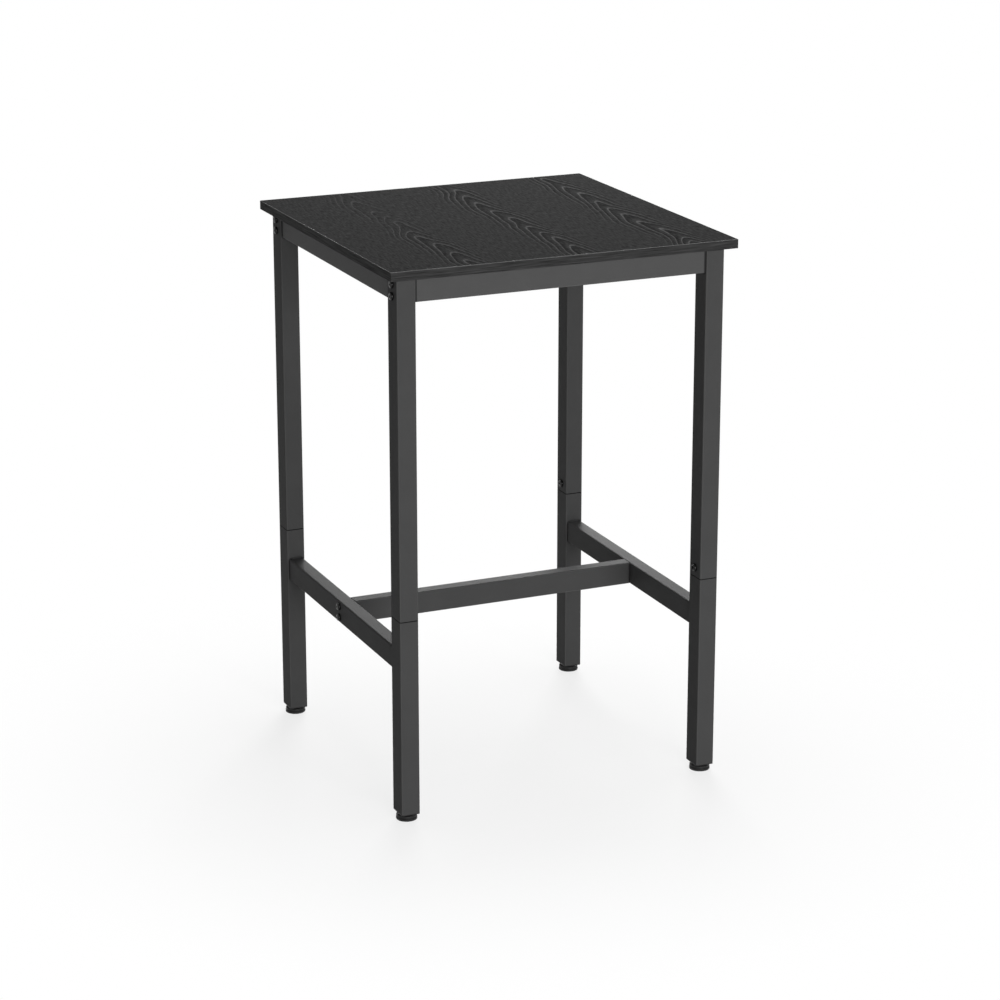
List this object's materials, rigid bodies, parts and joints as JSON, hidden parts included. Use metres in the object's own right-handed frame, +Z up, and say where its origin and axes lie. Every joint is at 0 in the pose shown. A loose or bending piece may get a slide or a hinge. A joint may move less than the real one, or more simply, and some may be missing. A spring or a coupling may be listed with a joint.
{
  "type": "pub table",
  "caption": "Square pub-height table with a thin wood-grain top on a bolted frame of rectangular steel tube, low footrest rails and screw-in levelling feet.",
  "frame": {"origin": "on the floor, under the middle of the table top", "axes": "+Z up; +X from the left legs to the right legs, along the bolted aprons and the stretcher; +Y from the front to the back, along the welded side aprons and side rails"},
  "size_m": [0.6, 0.6, 0.92],
  "materials": {
    "powder_coated_steel": "satin black powder coat with a fine texture",
    "melamine_board": "black melamine facing with a printed and lightly embossed wood grain",
    "edge_band": "black edge band with a faint grain, satin",
    "moulded_plastic": "black moulded plastic, satin",
    "blackened_steel": "black oxide on steel, slightly oily",
    "zinc_plated_steel": "bright zinc plate"
  },
  "bodies": {
    "frame": {"apron_bolts": "blackened_steel", "apron_nut_plates": "zinc_plated_steel", "back_apron": "powder_coated_steel", "centre_stretcher": "powder_coated_steel", "edge_band_back": "edge_band", "edge_band_front": "edge_band", "edge_band_left": "edge_band", "edge_band_right": "edge_band", "foot_nut_back_left": "zinc_plated_steel", "foot_nut_back_right": "zinc_plated_steel", "foot_nut_front_left": "zinc_plated_steel", "foot_nut_front_right": "zinc_plated_steel", "foot_plug_back_left": "moulded_plastic", "foot_plug_back_right": "moulded_plastic", "foot_plug_front_left": "moulded_plastic", "foot_plug_front_right": "moulded_plastic", "front_apron": "powder_coated_steel", "leg_sleeve_back_left": "zinc_plated_steel", "leg_sleeve_back_right": "zinc_plated_steel", "leg_sleeve_front_left": "zinc_plated_steel", "leg_sleeve_front_right": "zinc_plated_steel", "lower_leg_back_left": "powder_coated_steel", "lower_leg_back_right": "powder_coated_steel", "lower_leg_front_left": "powder_coated_steel", "lower_leg_front_right": "powder_coated_steel", "side_apron_left": "powder_coated_steel", "side_apron_right": "powder_coated_steel", "side_rail_left": "powder_coated_steel", "side_rail_right": "powder_coated_steel", "splice_nuts": "zinc_plated_steel", "splice_screws": "blackened_steel", "stretcher_bolts": "blackened_steel", "stretcher_nut_plates": "zinc_plated_steel", "tabletop_board": "melamine_board", "tabletop_screws": "zinc_plated_steel", "tabletop_spacers": "moulded_plastic", "top_plug_back_left": "moulded_plastic", "top_plug_back_right": "moulded_plastic", "top_plug_front_left": "moulded_plastic", "top_plug_front_right": "moulded_plastic", "upper_leg_back_left": "powder_coated_steel", "upper_leg_back_right": "powder_coated_steel", "upper_leg_front_left": "powder_coated_steel", "upper_leg_front_right": "powder_coated_steel"},
    "stud_front_left": {"foot_stud_front_left": "zinc_plated_steel"},
    "foot_front_left": {"foot_pad_front_left": "moulded_plastic"},
    "stud_front_right": {"foot_stud_front_right": "zinc_plated_steel"},
    "foot_front_right": {"foot_pad_front_right": "moulded_plastic"},
    "stud_back_left": {"foot_stud_back_left": "zinc_plated_steel"},
    "foot_back_left": {"foot_pad_back_left": "moulded_plastic"},
    "stud_back_right": {"foot_stud_back_right": "zinc_plated_steel"},
    "foot_back_right": {"foot_pad_back_right": "moulded_plastic"}
  },
  "joints": [
    {"name": "foot_lift_front_left", "type": "slide", "parent": "frame", "child": "stud_front_left", "axis": [0, 0, -1], "range_m": [-0.003, 0.01]},
    {"name": "foot_turn_front_left", "type": "hinge", "parent": "stud_front_left", "child": "foot_front_left", "pos_m": [-0.268, -0.264, 0], "axis": [0, 0, -1], "range_deg": [-870, 2886]},
    {"name": "foot_lift_front_right", "type": "slide", "parent": "frame", "child": "stud_front_right", "axis": [0, 0, -1], "range_m": [-0.003, 0.01]},
    {"name": "foot_turn_front_right", "type": "hinge", "parent": "stud_front_right", "child": "foot_front_right", "pos_m": [0.268, -0.264, 0], "axis": [0, 0, -1], "range_deg": [-870, 2886]},
    {"name": "foot_lift_back_left", "type": "slide", "parent": "frame", "child": "stud_back_left", "axis": [0, 0, -1], "range_m": [-0.003, 0.01]},
    {"name": "foot_turn_back_left", "type": "hinge", "parent": "stud_back_left", "child": "foot_back_left", "pos_m": [-0.268, 0.264, 0], "axis": [0, 0, -1], "range_deg": [-870, 2886]},
    {"name": "foot_lift_back_right", "type": "slide", "parent": "frame", "child": "stud_back_right", "axis": [0, 0, -1], "range_m": [-0.003, 0.01]},
    {"name": "foot_turn_back_right", "type": "hinge", "parent": "stud_back_right", "child": "foot_back_right", "pos_m": [0.268, 0.264, 0], "axis": [0, 0, -1], "range_deg": [-870, 2886]}
  ],
  "couplings": [
    {"joint": "foot_turn_front_left", "follows": "foot_lift_front_left", "rad_per_m": 5026.5},
    {"joint": "foot_turn_front_right", "follows": "foot_lift_front_right", "rad_per_m": 5026.5},
    {"joint": "foot_turn_back_left", "follows": "foot_lift_back_left", "rad_per_m": 5026.5},
    {"joint": "foot_turn_back_right", "follows": "foot_lift_back_right", "rad_per_m": 5026.5}
  ]
}
